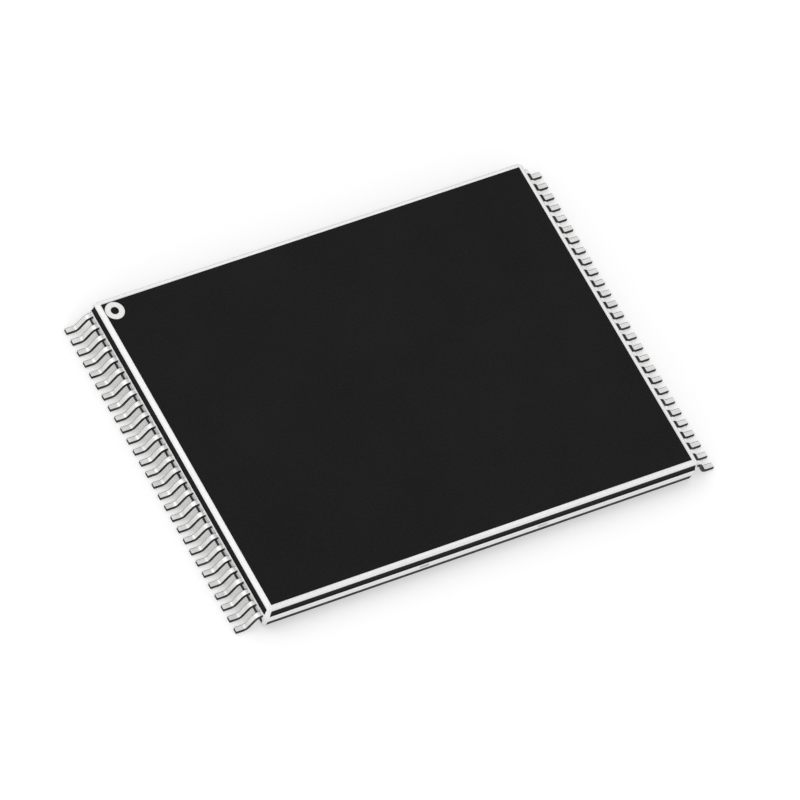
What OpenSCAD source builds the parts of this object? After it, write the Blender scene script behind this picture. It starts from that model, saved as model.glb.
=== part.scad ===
// Thin small outline package: a moulded body with a row of gull-wing leads at each end.
// X runs from one lead row to the other, Y runs along a row, and Z is up from the board.
// The origin is on the board, under the middle of the body. Lengths are in millimetres.

/* [Body] */
// Length of the body between its two lead rows, measured at the parting land
body_length = 18.3; // [16.5:0.1:20.5]
// Height of the body without the standoff
body_height = 1.05; // [0.9:0.05:1.4]
// Gap between the board and the underside of the body
standoff = 0.15; // [0.05:0.01:0.25]
// Draft of the sides from upright, in degrees
draft_angle = 8; // [4:1:15]
// Height of the upright land that runs round the parting line
land_height = 0.34; // [0.2:0.01:0.45]
// How far the land stands out from the drafted sides
land_step = 0.03; // [0.02:0.01:0.1]
// How far the bevel round the top edge draws in
bevel_width = 0.2; // [0.1:0.01:0.4]
// Height of the bevel round the top edge
bevel_height = 0.1; // [0.06:0.01:0.2]
// Leg of the bevel on each of the four upright corners, at the land
corner_bevel = 0.15; // [0.08:0.01:0.18]

/* [Leads] */
// Number of leads in each row
leads_per_row = 28; // [16:1:28]
// Distance from one lead to the next
lead_spacing = 0.5; // [0.45:0.01:0.65]
// Distance from the last lead's middle to the side of the body
row_margin = 0.3; // [0.25:0.01:0.8]
// Width of a lead outside the body
lead_width = 0.22; // [0.17:0.01:0.27]
// Thickness of the leadframe strip
lead_thickness = 0.15; // [0.1:0.01:0.18]
// How far a lead reaches beyond the body
lead_reach = 0.95; // [0.8:0.01:1.3]
// Level length of a lead where it leaves the body
lead_shoulder = 0.06; // [0.03:0.01:0.15]
// Slope of a lead's leg below level, in degrees
leg_angle = 62; // [50:1:80]
// Inner radius of a lead's two bends
bend_radius = 0.15; // [0.08:0.01:0.18]

/* [Leadframe inside the body] */
// Straight length of a lead just inside the body
root_length = 0.8; // [0.4:0.05:1.2]
// Straight length of a lead's inner tip
tip_length = 0.5; // [0.3:0.05:0.8]
// Width of a lead's inner tip
tip_width = 0.2; // [0.15:0.01:0.22]
// Gap between the die pad and the leads' inner tips
tip_gap = 0.25; // [0.15:0.01:0.5]
// Rim of the die pad that shows round the die
pad_rim = 0.3; // [0.1:0.05:0.5]
// How far the die pad lies below the leads
pad_downset = 0.2; // [0.16:0.01:0.25]
// Width of the tie bars that hold the die pad
tie_width = 0.4; // [0.2:0.05:0.8]
// Distance between the two tie bars on one side of the pad
tie_spacing = 5; // [2:0.5:7]
// Level length of a tie bar before it climbs
tie_foot = 0.05; // [0.02:0.01:0.15]

/* [Die] */
// Length of the die, from one lead row towards the other
die_length = 9.2; // [7:0.1:10.5]
// Width of the die, along a lead row
die_width = 11.4; // [10:0.1:12]
// Thickness of the die
die_thickness = 0.25; // [0.15:0.01:0.28]
// Thickness of the adhesive under the die
adhesive_thickness = 0.03; // [0.02:0.01:0.05]
// Distance from the die's corner to the first bond pad, along the row
bond_margin = 0.5; // [0.2:0.05:1]
// Distance from the die's edge to the middle of its bond pads
bond_inset = 0.1; // [0.06:0.01:0.3]

/* [Bond wires] */
// Side of a bond wire's square section
wire_size = 0.025; // [0.02:0.005:0.04]
// Height of a wire's loop above the die
loop_height = 0.13; // [0.1:0.01:0.16]
// Radius of the bend at the top of a wire's loop
loop_radius = 0.05; // [0.03:0.01:0.08]
// Diameter of the bonded ball on the die
ball_diameter = 0.07; // [0.05:0.01:0.1]
// Height of the bonded ball on the die
ball_height = 0.02; // [0.01:0.005:0.04]
// Distance from a lead's inner end to the stitch of its wire
stitch_inset = 0.15; // [0.08:0.01:0.25]

/* [Pin-one mark] */
// Outer diameter of the ring groove that marks the first lead
mark_diameter = 0.75; // [0.6:0.05:1.2]
// Diameter of the boss left standing inside the ring groove
mark_boss = 0.3; // [0.2:0.05:0.5]
// Depth of the ring groove
mark_depth = 0.03; // [0.02:0.005:0.06]
// Gap between the ring groove and the edges of the flat top
mark_gap = 0.02; // [0.02:0.01:0.3]

/* [Hidden] */
lead_count = 2 * leads_per_row;
function two_digits(number) = str(number < 10 ? "0" : "", number);
function lead_name(pin) = str("lead_", two_digits(pin));
$fn = 48;
bend_steps = 8;
// Extra length of a cutting or crossing outline past what it has to cover
overrun = 0.1;
// Leg that is left of a corner's bevel where the body draws in furthest
least_corner = 0.02;

// Heights above the board
body_top = standoff + body_height;
lead_middle = standoff + body_height / 2;
lead_top = lead_middle + lead_thickness / 2;
lead_bottom = lead_middle - lead_thickness / 2;
land_top = lead_middle + land_height / 2;
land_bottom = lead_middle - land_height / 2;
bevel_bottom = body_top - bevel_height;
pad_top = lead_top - pad_downset;
pad_bottom = lead_bottom - pad_downset;
adhesive_top = pad_top + adhesive_thickness;
die_top = adhesive_top + die_thickness;

// Places along X and Y
half_length = body_length / 2;
half_width = (leads_per_row - 1) * lead_spacing / 2 + row_margin;
lead_end = half_length + lead_reach;
pad_half_length = die_length / 2 + pad_rim;
pad_half_width = die_width / 2 + pad_rim;
tip_start = pad_half_length + tip_gap;
ball_place = die_length / 2 - bond_inset;
stitch_place = tip_start + stitch_inset;
tip_spacing = (die_width - 2 * bond_margin) / (leads_per_row - 1);

// How far the body draws in from its land, at its underside, under its bevel and on its top
underside_inset = land_step + (land_bottom - standoff) * tan(draft_angle);
shoulder_inset = land_step + (bevel_bottom - land_top) * tan(draft_angle);
top_inset = shoulder_inset + bevel_width;

// The first lead is at the far end of the left row. The count runs down the left row,
// then up the right one, so it goes anticlockwise as seen from above.
function is_left(pin) = pin <= leads_per_row;
function row_offset(pin) =
    is_left(pin)
        ? (leads_per_row + 1) / 2 - pin
        : pin - leads_per_row - (leads_per_row + 1) / 2;

function arc(centre, radius, from, to) = [
    for (step = [0 : bend_steps])
        let (angle = from + (to - from) * step / bend_steps)
        centre + radius * [cos(angle), sin(angle)]
];

// Leg of a corner's bevel where the body is drawn in by inset, so that the corner slopes as the sides do
function corner_leg(inset) = max(corner_bevel - (2 - sqrt(2)) * inset, least_corner);

// One level outline of the body: a rectangle with bevelled corners, drawn in by inset
function body_outline(inset, z) =
    let (x = half_length - inset, y = half_width - inset, c = corner_leg(inset))
    [
        [x, c - y, z], [x, y - c, z], [x - c, y, z], [c - x, y, z],
        [-x, y - c, z], [-x, c - y, z], [c - x, -y, z], [x - c, -y, z]
    ];

// The drafted body as a stack of level outlines, from its underside to its top
module body_block() {
    outlines = [
        body_outline(underside_inset, standoff),
        body_outline(land_step, land_bottom),
        body_outline(0, land_bottom),
        body_outline(0, land_top),
        body_outline(land_step, land_top),
        body_outline(shoulder_inset, bevel_bottom),
        body_outline(top_inset, body_top)
    ];
    corners = len(outlines[0]);
    last = len(outlines) - 1;
    walls = [
        for (level = [0 : last - 1], k = [0 : corners - 1])
            let (a = level * corners + k, b = level * corners + (k + 1) % corners)
            [a, a + corners, b + corners, b]
    ];
    underside = [for (k = [0 : corners - 1]) k];
    top = [for (k = [corners - 1 : -1 : 0]) last * corners + k];
    polyhedron(points = [for (ring = outlines) each ring], faces = concat([underside], walls, [top]));
}

// Ring groove in the corner of the top face beside the first lead
module pin_one_groove() {
    reach = top_inset + mark_gap + mark_diameter / 2;
    translate([reach - half_length, half_width - reach, body_top - mark_depth])
        difference() {
            cylinder(d = mark_diameter, h = mark_depth + overrun);
            cylinder(d = mark_boss, h = mark_depth + overrun);
        }
}

// Moulding compound that fills the body round everything it holds
module mould_body() {
    color("#212121")
        difference() {
            body_block();
            pin_one_groove();
            die_pad();
            die();
            bond_wires();
            for (pin = [1 : lead_count])
                lead(pin);
        }
}

// A right-hand lead seen from above, from its inner tip to past its toe
module lead_plan(pin) {
    y = row_offset(pin) * lead_spacing;
    tip_y = row_offset(pin) * tip_spacing;
    stations = [
        [tip_start - overrun, tip_y, tip_width],
        [tip_start + tip_length, tip_y, tip_width],
        [half_length - root_length, y, lead_width],
        [lead_end + overrun, y, lead_width]
    ];
    polygon([
        for (s = stations) [s[0], s[1] + s[2] / 2],
        for (k = [len(stations) - 1 : -1 : 0]) let (s = stations[k]) [s[0], s[1] - s[2] / 2]
    ]);
}

// A right-hand lead seen from the side: level, down its sloping leg and out along its foot
module lead_profile() {
    outer_radius = bend_radius + lead_thickness;
    middle_radius = bend_radius + lead_thickness / 2;
    drop = lead_middle - lead_thickness / 2;
    leg = (drop - 2 * middle_radius * (1 - cos(leg_angle))) / sin(leg_angle);
    across = [sin(leg_angle), cos(leg_angle)];
    along = [cos(leg_angle), -sin(leg_angle)];
    upper_centre = [half_length + lead_shoulder, lead_middle - middle_radius];
    lower_centre = upper_centre + 2 * middle_radius * across + leg * along;
    leg_turn = 90 - leg_angle;
    heel_turn = 270 - leg_angle;
    polygon(concat(
        [[tip_start, lead_top]],
        arc(upper_centre, outer_radius, 90, leg_turn),
        arc(lower_centre, bend_radius, heel_turn, 270),
        [[lead_end, lead_thickness], [lead_end, 0]],
        arc(lower_centre, outer_radius, 270, heel_turn),
        arc(upper_centre, bend_radius, leg_turn, 90),
        [[tip_start, lead_bottom]]
    ));
}

// One lead of the leadframe strip: its plan crossed with its side view
module lead(pin) {
    side = is_left(pin) ? 1 : 0;
    color("silver")
        mirror([side, 0, 0])
            intersection() {
                translate([0, 0, -overrun])
                    linear_extrude(height = lead_top + 2 * overrun)
                        lead_plan(pin);
                translate([0, half_width, 0])
                    rotate([90, 0, 0])
                        linear_extrude(height = 2 * half_width)
                            lead_profile();
            }
}

// A tie bar seen along X: from inside the pad's edge, up to the leads' level and out to the side
module tie_profile() {
    climb_start = pad_half_width + tie_foot;
    climb_end = climb_start + pad_downset;
    // The underside turns a little later than the upper side, so the bar keeps its thickness
    lag = lead_thickness * tan(45 / 2);
    polygon([
        [pad_half_width - overrun, pad_top],
        [climb_start, pad_top],
        [climb_end, lead_top],
        [half_width, lead_top],
        [half_width, lead_bottom],
        [climb_end + lag, lead_bottom],
        [climb_start + lag, pad_bottom],
        [pad_half_width - overrun, pad_bottom]
    ]);
}

// Die pad with its four tie bars, and the layer of adhesive that holds the die on it
module die_pad() {
    color("peru")
        union() {
            translate([-pad_half_length, -pad_half_width, pad_bottom])
                cube([2 * pad_half_length, 2 * pad_half_width, lead_thickness]);
            translate([-die_length / 2, -die_width / 2, pad_top])
                cube([die_length, die_width, adhesive_thickness]);
            for (x = [-tie_spacing / 2, tie_spacing / 2], side = [0, 1])
                mirror([0, side, 0])
                    translate([x - tie_width / 2, 0, 0])
                        rotate([90, 0, 90])
                            linear_extrude(height = tie_width)
                                tie_profile();
        }
}

// Silicon die on the adhesive
module die() {
    color("slategray")
        translate([-die_length / 2, -die_width / 2, adhesive_top])
            cube([die_length, die_width, die_thickness]);
}

// A right-hand bond wire seen from the side: up from its ball, over and down to its lead
module wire_profile() {
    half = wire_size / 2;
    run = stitch_place - ball_place - loop_radius;
    fall = die_top + loop_height - loop_radius - lead_top;
    slope = atan2(fall, run) + asin(loop_radius / norm([run, fall]));
    centre = [ball_place + loop_radius, die_top + loop_height - loop_radius];
    outer = arc(centre, loop_radius + half, 180, 90 - slope);
    inner = arc(centre, loop_radius - half, 90 - slope, 180);
    outer_end = outer[bend_steps];
    inner_start = inner[0];
    polygon(concat(
        [[ball_place - half, die_top + ball_height / 2]],
        outer,
        [
            [outer_end[0] + (outer_end[1] - lead_top) / tan(slope), lead_top],
            [inner_start[0] + (inner_start[1] - lead_top) / tan(slope), lead_top]
        ],
        inner,
        [[ball_place + half, die_top + ball_height / 2]]
    ));
}

// The wire from one lead's inner tip to its pad on the die, with the ball that bonds it
module bond_wire(pin) {
    side = is_left(pin) ? 1 : 0;
    mirror([side, 0, 0])
        translate([0, row_offset(pin) * tip_spacing, 0])
            union() {
                translate([0, wire_size / 2, 0])
                    rotate([90, 0, 0])
                        linear_extrude(height = wire_size)
                            wire_profile();
                translate([ball_place, 0, die_top])
                    cylinder(d = ball_diameter, h = ball_height);
            }
}

// One bond wire for each lead
module bond_wires() {
    color("gold")
        for (pin = [1 : lead_count])
            bond_wire(pin);
}

mould_body();
die_pad();
die();
bond_wires();
for (pin = [1 : lead_count])
    lead(pin);
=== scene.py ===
import math

import bmesh
import bpy
from mathutils import Matrix, Vector


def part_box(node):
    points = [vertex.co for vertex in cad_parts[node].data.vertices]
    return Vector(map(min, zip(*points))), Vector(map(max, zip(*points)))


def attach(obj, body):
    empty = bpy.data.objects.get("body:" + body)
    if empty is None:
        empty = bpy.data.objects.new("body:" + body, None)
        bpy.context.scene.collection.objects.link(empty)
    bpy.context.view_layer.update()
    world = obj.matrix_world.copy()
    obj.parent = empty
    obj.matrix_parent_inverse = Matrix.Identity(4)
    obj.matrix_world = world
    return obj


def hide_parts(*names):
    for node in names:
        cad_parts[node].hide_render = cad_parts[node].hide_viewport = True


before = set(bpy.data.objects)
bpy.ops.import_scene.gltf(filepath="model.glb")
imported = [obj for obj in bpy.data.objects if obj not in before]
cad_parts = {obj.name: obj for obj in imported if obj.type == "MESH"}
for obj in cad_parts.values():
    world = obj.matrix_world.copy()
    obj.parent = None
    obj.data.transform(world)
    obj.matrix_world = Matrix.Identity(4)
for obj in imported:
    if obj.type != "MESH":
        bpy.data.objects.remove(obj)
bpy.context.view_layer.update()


# Die pad: the paddle in the middle of the leadframe, with the four tie bars that carry it.
# Rolled iron-nickel strip, etched to shape and pressed down below the leads. The cut ends of
# the tie bars come out flush in the two plain sides of the body.
mm = 0.001


def connect(owner, node, sockets):
    """Set each socket of a node to a value, or link it to another node's output."""
    for name, value in sockets.items():
        if isinstance(value, bpy.types.NodeSocket):
            owner.node_tree.links.new(value, node.inputs[name])
        else:
            node.inputs[name].default_value = value


def add_node(owner, kind, sockets, **settings):
    node = owner.node_tree.nodes.new(kind)
    for name, value in settings.items():
        setattr(node, name, value)
    connect(owner, node, sockets)
    return node


def new_finish(name):
    """A finish and the place on the piece that its grain is laid out from."""
    finish = bpy.data.materials.new(name)
    finish.use_nodes = True
    place = add_node(finish, "ShaderNodeTexCoord", {}).outputs["Object"]
    return finish, place


def shade(finish, sockets):
    connect(finish, finish.node_tree.nodes["Principled BSDF"], sockets)


def noise(finish, place, grain, detail):
    """Random grain of about the given size in millimetres."""
    sockets = {"Vector": place, "Scale": 1 / (grain * mm), "Detail": detail}
    return add_node(finish, "ShaderNodeTexNoise", sockets).outputs["Fac"]


def spread(owner, value, low=0, high=1, to_low=0, to_high=1):
    """A value between low and high, carried over to the range from to_low to to_high."""
    sockets = {"Value": value, "From Min": low, "From Max": high, "To Min": to_low, "To Max": to_high}
    return add_node(owner, "ShaderNodeMapRange", sockets).outputs["Result"]


def blend(finish, share, first, second):
    """A colour that goes from first to second as share goes from 0 to 1."""
    colour_a, colour_b, mixed_colour = 6, 7, 2
    sockets = {"Factor": share, colour_a: (*first, 1), colour_b: (*second, 1)}
    return add_node(finish, "ShaderNodeMix", sockets, data_type="RGBA").outputs[mixed_colour]


def relief(finish, height, depth, strength):
    """Fine relief with a depth in millimetres."""
    sockets = {"Height": height, "Distance": depth * mm, "Strength": strength}
    return add_node(finish, "ShaderNodeBump", sockets).outputs["Normal"]


def metal_finish(name, dull, bright, rough, smooth, grain, depth):
    """Metal with streaks along X, where it was rolled or drawn, over larger patches of tarnish."""
    streak_stretch = 8
    patch_size = 12 * grain
    dullest, brightest = 0.12, 0.40
    finish, place = new_finish(name)
    stretch = {"Vector": place, "Scale": (1 / streak_stretch, 1, 1)}
    lengthwise = add_node(finish, "ShaderNodeMapping", stretch).outputs["Vector"]
    streaks = noise(finish, lengthwise, grain, detail=4)
    patches = noise(finish, place, patch_size, detail=2)
    product = add_node(finish, "ShaderNodeMath", {0: streaks, 1: patches}, operation="MULTIPLY")
    sheen = spread(finish, product.outputs["Value"], low=dullest, high=brightest)
    shade(finish, {
        "Metallic": 1.0,
        "Base Color": blend(finish, sheen, dull, bright),
        "Roughness": spread(finish, sheen, to_low=rough, to_high=smooth),
        "Normal": relief(finish, streaks, depth, strength=0.5),
    })
    return finish


def finish_node(name, finish):
    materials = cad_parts[name].data.materials
    materials.clear()
    materials.append(finish)


finish_node("die_pad", metal_finish(
    "rolled_strip", dull=(0.48, 0.47, 0.44), bright=(0.60, 0.59, 0.56), rough=0.42, smooth=0.28,
    grain=0.11, depth=0.003))


# Die: a thin rectangle of silicon, sawn from a wafer and glued on the pad.
# Its polished face carries rows of memory blocks, which show as faint bands with bright wiring
# between them.
silicon_finish, silicon_place = new_finish("polished_silicon")
memory_blocks = add_node(silicon_finish, "ShaderNodeTexBrick", {
    "Vector": silicon_place, "Scale": 1 / mm, "Brick Width": 2.1, "Row Height": 1.35,
    "Mortar Size": 0.06, "Mortar Smooth": 0.2, "Color1": (0.10, 0.11, 0.15, 1),
    "Color2": (0.13, 0.12, 0.15, 1), "Mortar": (0.26, 0.25, 0.22, 1)}, offset=0.0)
silicon_haze = noise(silicon_finish, silicon_place, grain=0.4, detail=2)
shade(silicon_finish, {
    "Metallic": 0.6,
    "Base Color": memory_blocks.outputs["Color"],
    "Roughness": spread(silicon_finish, silicon_haze, to_low=0.12, to_high=0.22),
})
finish_node("die", silicon_finish)


# Bond wires: one fine gold wire from each lead's inner tip to its pad on the die.
# Each is welded to the die as a ball, looped over and stitched to its lead.
finish_node("bond_wires", metal_finish(
    "drawn_gold", dull=(0.84, 0.58, 0.20), bright=(0.93, 0.68, 0.27), rough=0.30, smooth=0.18,
    grain=0.05, depth=0.0005))


# Leads: 56 strips of the leadframe, 28 in each row, trimmed apart and bent into gull wings.
# Their rolled faces have a satin tin plating. Their stamped sides and rounded edges are painted near
# black, a painted shade, and the toes, which are cut after plating, show the bare strip, painted near
# black as shade too.
body_low, body_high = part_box("mould_body")
half_length = body_high.x / mm
half_width = body_high.y / mm
body_top = body_high.z / mm
body_underside = body_low.z / mm
lead_middle = (body_underside + body_top) / 2
tip_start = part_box("lead_29")[0].x / mm
lead_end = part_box("lead_29")[1].x / mm
die_width = 2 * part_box("die")[1].y / mm

leads_per_row = 28
lead_spacing = 0.5
lead_width = 0.22
strip_thickness = 0.15
lead_shoulder = 0.06
leg_angle = math.radians(62)
bend_radius = 0.15
bend_steps = 12
root_length = 0.8
tip_length = 0.5
tip_width = 0.2
bond_margin = 0.5
tip_spacing = (die_width - 2 * bond_margin) / (leads_per_row - 1)
stamped_radius = 0.022
corner_points = 4
toe_rounding = 0.012
sharp_edge = math.radians(40)

lead_finishes = (
    metal_finish("satin_tin", dull=(0.66, 0.66, 0.65), bright=(0.80, 0.80, 0.79),
                 rough=0.52, smooth=0.40, grain=0.038, depth=0.002),
    # Stamped sides and edges: near-black painted shade.
    metal_finish("stamped_side_painted_shade", dull=(0.012, 0.012, 0.012), bright=(0.045, 0.045, 0.045),
                 rough=0.58, smooth=0.40, grain=0.033, depth=0.003),
    # Cut ends: bare strip, painted near black as shade.
    metal_finish("cut_toe_painted_shade", dull=(0.012, 0.012, 0.011), bright=(0.045, 0.044, 0.042),
                 rough=0.62, smooth=0.45, grain=0.033, depth=0.003),
)
tin, stamped_painted_shade, cut_end_painted_shade = range(len(lead_finishes))


def strip_section(width, drawn_in):
    """The strip's cross section as (across, up) points, anticlockwise from its right side."""
    reach_across = width / 2 - drawn_in - stamped_radius
    reach_up = strip_thickness / 2 - drawn_in - stamped_radius
    points = []
    for quarter, (across, up) in enumerate(((1, 1), (-1, 1), (-1, -1), (1, -1))):
        for step in range(corner_points):
            turn = math.radians(90) * (quarter + step / (corner_points - 1))
            points.append((across * reach_across + stamped_radius * math.cos(turn),
                           up * reach_up + stamped_radius * math.sin(turn)))
    return points


def lead_route(y, tip_y):
    """The strip's middle line, from inner tip to toe, as (x, y, z, slope, width, drawn_in) stations."""
    middle_radius = bend_radius + strip_thickness / 2
    sole_middle = strip_thickness / 2
    bend_drop = 2 * middle_radius * (1 - math.cos(leg_angle))
    leg_length = (lead_middle - sole_middle - bend_drop) / math.sin(leg_angle)
    knee_x = half_length + lead_shoulder
    knee_z = lead_middle - middle_radius
    heel_x = knee_x + 2 * middle_radius * math.sin(leg_angle) + leg_length * math.cos(leg_angle)
    heel_z = sole_middle + middle_radius
    slopes = [leg_angle * step / bend_steps for step in range(bend_steps + 1)]
    knee = [(knee_x + middle_radius * math.sin(slope), y, knee_z + middle_radius * math.cos(slope),
             slope, lead_width, 0) for slope in slopes]
    heel = [(heel_x - middle_radius * math.sin(slope), y, heel_z - middle_radius * math.cos(slope),
             slope, lead_width, 0) for slope in reversed(slopes)]
    return [
        (tip_start, tip_y, lead_middle, 0, tip_width, 0),
        (tip_start + tip_length, tip_y, lead_middle, 0, tip_width, 0),
        (half_length - root_length, y, lead_middle, 0, lead_width, 0),
        *knee,
        *heel,
        (lead_end - toe_rounding, y, sole_middle, 0, lead_width, 0),
        (lead_end, y, sole_middle, 0, lead_width, toe_rounding),
    ]


def finished_piece(name, mesh, finishes):
    """Turn a mesh in millimetres into a piece of the chip with its finishes."""
    bmesh.ops.recalc_face_normals(mesh, faces=mesh.faces)
    mesh.transform(Matrix.Scale(mm, 4))
    data = bpy.data.meshes.new(name)
    mesh.to_mesh(data)
    mesh.free()
    data.shade_smooth()
    data.set_sharp_from_angle(angle=sharp_edge)
    for finish in finishes:
        data.materials.append(finish)
    piece = bpy.data.objects.new(name, data)
    bpy.context.scene.collection.objects.link(piece)
    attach(piece, "root")
    return piece


def bent_lead(pin):
    """One lead: the first row runs down the left end and the second up the right one."""
    left = pin <= leads_per_row
    row_middle = (leads_per_row + 1) / 2
    place = row_middle - pin if left else pin - leads_per_row - row_middle
    side = -1 if left else 1
    mesh = bmesh.new()
    rings = []
    for x, y, z, slope, width, drawn_in in lead_route(place * lead_spacing, place * tip_spacing):
        ring = []
        for across, up in strip_section(width, drawn_in):
            point = (side * (x + up * math.sin(slope)), y + across, z + up * math.cos(slope))
            ring.append(mesh.verts.new(point))
        rings.append(ring)
    for before, after in zip(rings, rings[1:]):
        for k in range(len(before)):
            face = mesh.faces.new((before[k - 1], before[k], after[k], after[k - 1]))
            # Only the flat top and underside are tin; the sides and edges get the near-black painted shade.
            on_rolled_face = k % (2 * corner_points) == corner_points
            face.material_index = tin if on_rolled_face else stamped_painted_shade
    # Both cut ends get the near-black painted shade.
    for end in (rings[0], rings[-1]):
        mesh.faces.new(end).material_index = cut_end_painted_shade
    lead = finished_piece("plated_lead_%02d" % pin, mesh, lead_finishes)
    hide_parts("lead_%02d" % pin)


for pin in range(1, 2 * leads_per_row + 1):
    bent_lead(pin)


# Body: black epoxy moulded round the leadframe in a two-part mould, so its sides are drafted both
# ways from an upright land at the parting line. The faces have the mould's fine eroded grain. The
# bevel round the top is glossy, so the strip lamps give it a real highlight; it, the land and the
# upright corners are also painted near white, a painted highlight.
land_height = 0.34
land_step = 0.03
draft = math.tan(math.radians(8))
bevel_width = 0.2
bevel_height = 0.1
corner_bevel = 0.15
least_corner = 0.02
edge_rounding = 0.015
rounding_steps = 3
underside_rim = 0.06
top_rim = 0.014
tie_middle = 2.5
tie_width = 0.4
tie_pocket = 0.15
mark_diameter = 0.75
mark_boss = 0.3
mark_depth = 0.03
mark_gap = 0.02
mark_steps = 64

land_top = lead_middle + land_height / 2
land_bottom = lead_middle - land_height / 2
bevel_bottom = body_top - bevel_height
tie_top = lead_middle + strip_thickness / 2
tie_bottom = lead_middle - strip_thickness / 2
tie_edges = (tie_middle - tie_width / 2, tie_middle + tie_width / 2)
underside_inset = land_step + (land_bottom - body_underside) * draft
shoulder_inset = land_step + (bevel_bottom - land_top) * draft
top_inset = shoulder_inset + bevel_width


def rounded(before, corner, after, radius):
    """A corner between two other points, rounded off by a short curve."""
    corner = Vector(corner)
    to_before = (Vector(before) - corner).normalized()
    to_after = (Vector(after) - corner).normalized()
    reach = radius / math.tan(to_before.angle(to_after) / 2)
    start = corner + to_before * reach
    end = corner + to_after * reach
    shares = [step / rounding_steps for step in range(rounding_steps + 1)]
    return [start * (1 - t) ** 2 + corner * 2 * t * (1 - t) + end * t ** 2 for t in shares]


def body_side():
    """The side of the body as (inset, height) points, from its underside to its top."""
    corners = [
        (underside_inset + underside_rim, body_underside), (underside_inset, body_underside),
        (land_step, land_bottom), (0, land_bottom), (0, land_top), (land_step, land_top),
        (shoulder_inset, bevel_bottom), (top_inset, body_top), (top_inset + top_rim, body_top),
    ]
    points = [Vector(corners[0])]
    for before, corner, after in zip(corners, corners[1:], corners[2:]):
        points += rounded(before, corner, after, edge_rounding)
        if corner == (0, land_bottom):
            points += [Vector((0, tie_bottom)), Vector((0, tie_top))]
    return points + [Vector(corners[-1])]


def body_outline(inset):
    """The body seen from above, drawn in by inset, with points where tie bars pass the plain sides."""
    x = half_length - inset
    y = half_width - inset
    leg_loss = (2 - math.sqrt(2)) * inset
    leg = max(corner_bevel - leg_loss, least_corner)
    corners = [
        (x, leg - y), (x, y - leg), (x - leg, y), (leg - x, y),
        (-x, y - leg), (-x, leg - y), (leg - x, -y), (x - leg, -y),
    ]
    near, far = tie_edges
    tie_points = {
        2: [(far, y), (near, y), (-near, y), (-far, y)],
        6: [(-far, -y), (-near, -y), (near, -y), (far, -y)],
    }
    radius = min(2 * edge_rounding, leg / 2)
    points = []
    for k, corner in enumerate(corners):
        points += rounded(corners[k - 1], corner, corners[(k + 1) % len(corners)], radius)
        points += [Vector(point) for point in tie_points.get(k, [])]
    return points


def ring_of_points(mesh, centre, diameter, z):
    turns = [2 * math.pi * step / mark_steps for step in range(mark_steps)]
    around = [Vector((math.cos(turn), math.sin(turn))) * diameter / 2 + centre for turn in turns]
    return [mesh.verts.new((point.x, point.y, z)) for point in around]


def join_rings(mesh, lower, upper):
    for k in range(len(lower)):
        mesh.faces.new((lower[k - 1], lower[k], upper[k], upper[k - 1]))


def over_tie_end(face):
    """Does this part of the land lie over the end of a tie bar?"""
    decimals = 3
    corners = {(round(abs(corner.co.x), decimals), round(corner.co.z, decimals)) for corner in face.verts}
    return corners == {(round(x, decimals), round(z, decimals))
                       for x in tie_edges for z in (tie_bottom, tie_top)}


def compound_finish(name, dark, pale, smooth, rough, grain, depth, shine):
    """Filled epoxy: a fine grain, and faint clouds where the compound flowed."""
    cloud_size = 2.4
    cloud_share = 0.25
    darkest, palest = 0.36, 0.66
    finish, place = new_finish(name)
    fine = noise(finish, place, grain, detail=3)
    clouds = noise(finish, place, cloud_size, detail=3)
    cloudy = {"Factor": cloud_share, "A": fine, "B": clouds}
    mixed = add_node(finish, "ShaderNodeMix", cloudy, data_type="FLOAT").outputs["Result"]
    share = spread(finish, mixed, low=darkest, high=palest)
    shade(finish, {
        "Specular IOR Level": shine,
        "Base Color": blend(finish, share, dark, pale),
        "Roughness": spread(finish, share, to_low=smooth, to_high=rough),
        "Normal": relief(finish, fine, depth, strength=0.6),
    })
    return finish


body_finishes = (
    compound_finish("grained_compound", dark=(0.0040, 0.0040, 0.0042), pale=(0.0100, 0.0100, 0.0104),
                    smooth=0.50, rough=0.62, grain=0.07, depth=0.012, shine=0.09),
    # Glossy bevel, coloured near white as a painted highlight.
    compound_finish("glossy_bevel_painted_highlight", dark=(0.70, 0.70, 0.70), pale=(0.80, 0.80, 0.80),
                    smooth=0.06, rough=0.10, grain=0.067, depth=0.0002, shine=0.9),
    # Land and upright corners, coloured near white as a painted highlight.
    compound_finish("land_and_corners_painted_highlight", dark=(0.80, 0.80, 0.80), pale=(0.90, 0.90, 0.90),
                    smooth=0.30, rough=0.45, grain=0.067, depth=0.002, shine=0.5),
)
grained, bevel_painted_highlight, land_corner_painted_highlight = range(len(body_finishes))


def side_finish(face):
    """Which finish a face of the body's outside has, by its place and the way it faces: grained black, or
    the pale painted highlight.
    """
    corner_reach = 0.3
    hair = 0.001
    near_upright = 0.3
    near_level = 0.98
    centre = face.calc_center_median()
    rise = abs(face.normal.z)
    between_flats = body_underside + hair < centre.z < body_top - hair
    at_end = half_length - abs(centre.x) < corner_reach
    at_side = half_width - abs(centre.y) < corner_reach
    on_land = land_bottom < centre.z < land_top and rise < near_upright
    # The land and the upright corners get the near-white painted highlight.
    if on_land or (at_end and at_side and between_flats):
        return land_corner_painted_highlight
    # The bevel gets the glossy, near-white painted highlight.
    on_bevel = centre.z > bevel_bottom and near_upright < rise < near_level
    return bevel_painted_highlight if on_bevel else grained


body_mesh = bmesh.new()
body_rings = []
for inset, height in body_side():
    body_rings.append([body_mesh.verts.new((point.x, point.y, height)) for point in body_outline(inset)])
for lower, upper in zip(body_rings, body_rings[1:]):
    join_rings(body_mesh, lower, upper)
body_mesh.faces.new(body_rings[0])
body_mesh.normal_update()
for face in body_mesh.faces:
    face.material_index = side_finish(face)

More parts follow.
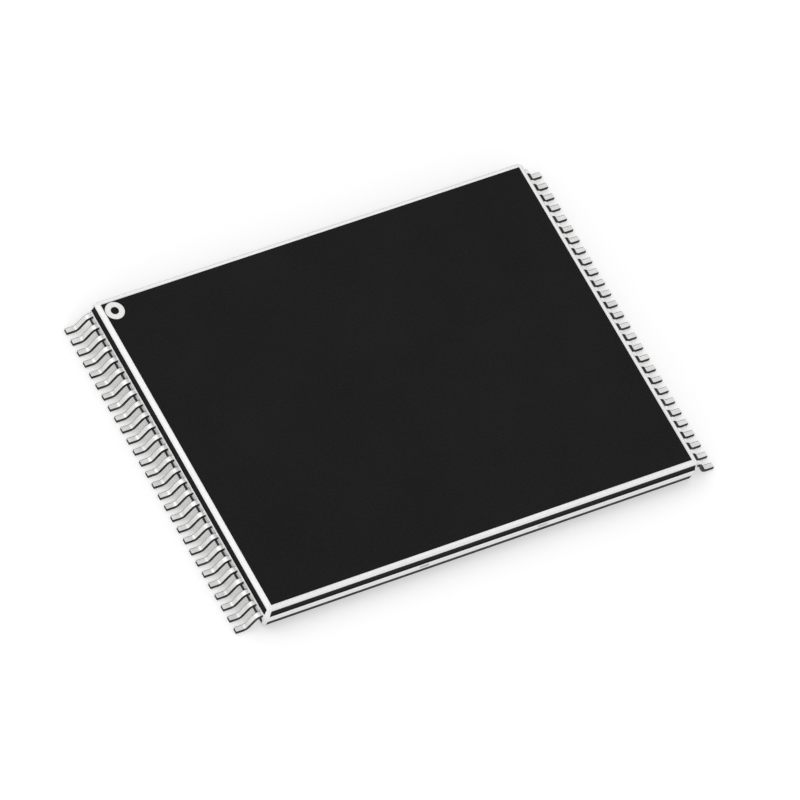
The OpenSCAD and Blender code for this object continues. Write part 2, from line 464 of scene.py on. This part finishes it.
for opening in [face for face in body_mesh.faces if over_tie_end(face)]:
    rim = list(opening.verts)
    inward = Vector((0, -math.copysign(tie_pocket, rim[0].co.y), 0))
    foot = [body_mesh.verts.new(corner.co + inward) for corner in rim]
    body_mesh.faces.remove(opening)
    join_rings(body_mesh, rim, foot)
    body_mesh.faces.new(foot)

mark_reach = top_inset + mark_gap + mark_diameter / 2
mark_centre = Vector((mark_reach - half_length, half_width - mark_reach))
groove_rings = [
    ring_of_points(body_mesh, mark_centre, mark_diameter, body_top),
    ring_of_points(body_mesh, mark_centre, mark_diameter, body_top - mark_depth),
    ring_of_points(body_mesh, mark_centre, mark_boss, body_top - mark_depth),
    ring_of_points(body_mesh, mark_centre, mark_boss, body_top),
]
for outer, inner in zip(groove_rings, groove_rings[1:]):
    join_rings(body_mesh, outer, inner)
body_mesh.faces.new(groove_rings[-1])
top_edges = [edge for ring in (body_rings[-1], groove_rings[0]) for edge in
             (body_mesh.edges.get((ring[k - 1], ring[k])) for k in range(len(ring)))]
bmesh.ops.triangle_fill(body_mesh, use_beauty=True, edges=top_edges)
moulded_body = finished_piece("moulded_body", body_mesh, body_finishes)
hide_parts("mould_body")


# Pin-one ring: white marking ink laid in the ring groove beside the first lead.
# It dries a little below the top face, with a low crown and a surface that is not quite even.
ink_sink = 0.002
ink_crown = 0.008
ink_clearance = 0.003
ink_steps = 6
thin_ink = (0.74, 0.74, 0.72)
thick_ink = (0.93, 0.93, 0.91)
ink_outer = mark_diameter - 2 * ink_clearance
ink_inner = mark_boss + 2 * ink_clearance

ink_mesh = bmesh.new()
ink_section = [(ink_inner, body_top - mark_depth)]
for step in range(ink_steps + 1):
    share = step / ink_steps
    fall = ink_crown * (2 * share - 1) ** 4
    ink_section.append((ink_inner + (ink_outer - ink_inner) * share, body_top - ink_sink - fall))
ink_section.append((ink_outer, body_top - mark_depth))
ink_rings = [ring_of_points(ink_mesh, mark_centre, diameter, z) for diameter, z in ink_section]
for k in range(len(ink_rings)):
    join_rings(ink_mesh, ink_rings[k - 1], ink_rings[k])

ink_finish, ink_place = new_finish("white_ink")
ink_grain = noise(ink_finish, ink_place, grain=0.07, detail=3)
shade(ink_finish, {
    "Specular IOR Level": 0.4,
    "Base Color": blend(ink_finish, ink_grain, thin_ink, thick_ink),
    "Roughness": spread(ink_finish, ink_grain, to_low=0.45, to_high=0.70),
    "Normal": relief(ink_finish, ink_grain, depth=0.003, strength=0.4),
})
finished_piece("pin_one_ring", ink_mesh, (ink_finish,))


# Floor: a wide sheet of white card that the chip stands on.
# A little light of its own, which only the camera and reflections see, lifts it to plain white
# and leaves the chip's shadow.
floor_half = 2.0
floor_drop = 2e-6
card_colour = 0.7
floor_lift = 0.37


def seen_share(owner):
    """1 for what the camera sees, straight or in a reflection, and 0 for the light on the chip."""
    rays = add_node(owner, "ShaderNodeLightPath", {}).outputs
    bent = add_node(owner, "ShaderNodeMath", {0: rays["Is Glossy Ray"], 1: rays["Is Transmission Ray"]},
                    operation="MAXIMUM")
    return add_node(owner, "ShaderNodeMath", {0: rays["Is Camera Ray"], 1: bent.outputs["Value"]},
                    operation="MAXIMUM").outputs["Value"]


card_finish = bpy.data.materials.new("white_card")
card_finish.use_nodes = True
card_finish.node_tree.nodes.clear()
card = add_node(card_finish, "ShaderNodeBsdfDiffuse", {"Color": (card_colour, card_colour, card_colour, 1)})
lift = add_node(card_finish, "ShaderNodeEmission", {
    "Strength": spread(card_finish, seen_share(card_finish), to_high=floor_lift)})
lifted_card = add_node(card_finish, "ShaderNodeAddShader", {0: card.outputs[0], 1: lift.outputs[0]})
add_node(card_finish, "ShaderNodeOutputMaterial", {"Surface": lifted_card.outputs[0]})
floor_data = bpy.data.meshes.new("floor")
floor_corners = [(x * floor_half, y * floor_half, -floor_drop)
                 for x, y in ((-1, -1), (1, -1), (1, 1), (-1, 1))]
floor_data.from_pydata(floor_corners, [], [(0, 1, 2, 3)])
floor_data.materials.append(card_finish)
floor = bpy.data.objects.new("floor", floor_data)
bpy.context.scene.collection.objects.link(floor)


# Camera: a long lens, high on the front left and turned about its own axis, so that the chip lies
# as it does in the reference. It aims a little to the right of the middle of the chip.
view_azimuth = math.radians(-47.03)
view_elevation = math.radians(54.89)
view_roll = math.radians(22.60)
view_distance = 0.4013
aim_right = 0.371 * mm
aim_up = 0.005 * mm
lens_length = 495
sensor_width = 36
nearest_seen = 0.01
furthest_seen = 20

camera_data = bpy.data.cameras.new("camera")
camera_data.sensor_width = sensor_width
camera_data.lens = lens_length
camera_data.clip_start = nearest_seen
camera_data.clip_end = furthest_seen
camera = bpy.data.objects.new("camera", camera_data)
bpy.context.scene.collection.objects.link(camera)
to_camera = Vector((math.sin(view_azimuth) * math.cos(view_elevation),
                    -math.cos(view_azimuth) * math.cos(view_elevation),
                    math.sin(view_elevation)))
level_right = Vector((math.cos(view_azimuth), math.sin(view_azimuth), 0))
to_right = level_right * math.cos(view_roll) + to_camera.cross(level_right) * math.sin(view_roll)
to_top = to_camera.cross(to_right)
camera.rotation_euler = Matrix((to_right, to_top, to_camera)).transposed().to_euler()
camera.location = to_camera * view_distance + to_right * aim_right + to_top * aim_up
bpy.context.scene.camera = camera
bpy.context.scene.view_settings.view_transform = "Standard"


# Light: a white tent all round, a large soft key overhead, a low fill from the camera's side for the
# upright faces, and one strip softbox for each side of the bevel, where that side mirrors it to the
# camera and so shows as a bright line.
tent_light = 0.82
box_distance = 0.5
key_direction = Vector((-0.5, 0.3, 0.8))
key_side = 0.3
key_radiance = 1
fill_rise = 0.2
fill_direction = Vector((math.sin(view_azimuth), -math.cos(view_azimuth), fill_rise))
fill_width = 0.4
fill_height = 0.2
fill_radiance = 2
strip_width = 0.13
strip_height = 0.05
strip_radiance = 1.4

tent = bpy.data.worlds.new("white_tent")
tent.use_nodes = True
tent_strength = spread(tent, seen_share(tent), to_low=tent_light)
connect(tent, tent.node_tree.nodes["Background"], {"Color": (1, 1, 1, 1), "Strength": tent_strength})
bpy.context.scene.world = tent


def softbox(name, target, direction, along, width, height, radiance):
    """A soft lamp that faces a target from a direction, with its width laid along a line."""
    away = direction.normalized()
    upward = away.cross(along).normalized()
    lamp = bpy.data.lights.new(name, "AREA")
    lamp.shape = "RECTANGLE"
    lamp.size = width
    lamp.size_y = height
    lamp.energy = radiance * math.pi * width * height
    box = bpy.data.objects.new(name, lamp)
    box.location = target + away * box_distance
    box.rotation_euler = Matrix((upward.cross(away), upward, away)).transposed().to_euler()
    bpy.context.scene.collection.objects.link(box)


def bevel_strip(name, outward):
    """A strip of light where the bevel on one side of the body mirrors it to the camera."""
    inset = (shoulder_inset + top_inset) / 2
    bevel_middle = Vector((outward.x * (half_length - inset), outward.y * (half_width - inset),
                           (bevel_bottom + body_top) / 2)) * mm
    facing = (outward * bevel_height + Vector((0, 0, bevel_width))).normalized()
    to_lens = (camera.location - bevel_middle).normalized()
    mirrored = 2 * facing.dot(to_lens) * facing - to_lens
    edge = Vector((-outward.y, outward.x, 0))
    softbox(name, bevel_middle, mirrored, edge, strip_width, strip_height, strip_radiance)


chip_middle = Vector((0, 0, 0))
chip_length = Vector((1, 0, 0))
softbox("key_softbox", chip_middle, key_direction, chip_length, key_side, key_side, key_radiance)
softbox("fill_softbox", chip_middle, fill_direction, level_right, fill_width, fill_height, fill_radiance)
bevel_strip("front_strip", Vector((0, -1, 0)))
bevel_strip("back_strip", Vector((0, 1, 0)))
bevel_strip("left_strip", Vector((-1, 0, 0)))
bevel_strip("right_strip", Vector((1, 0, 0)))
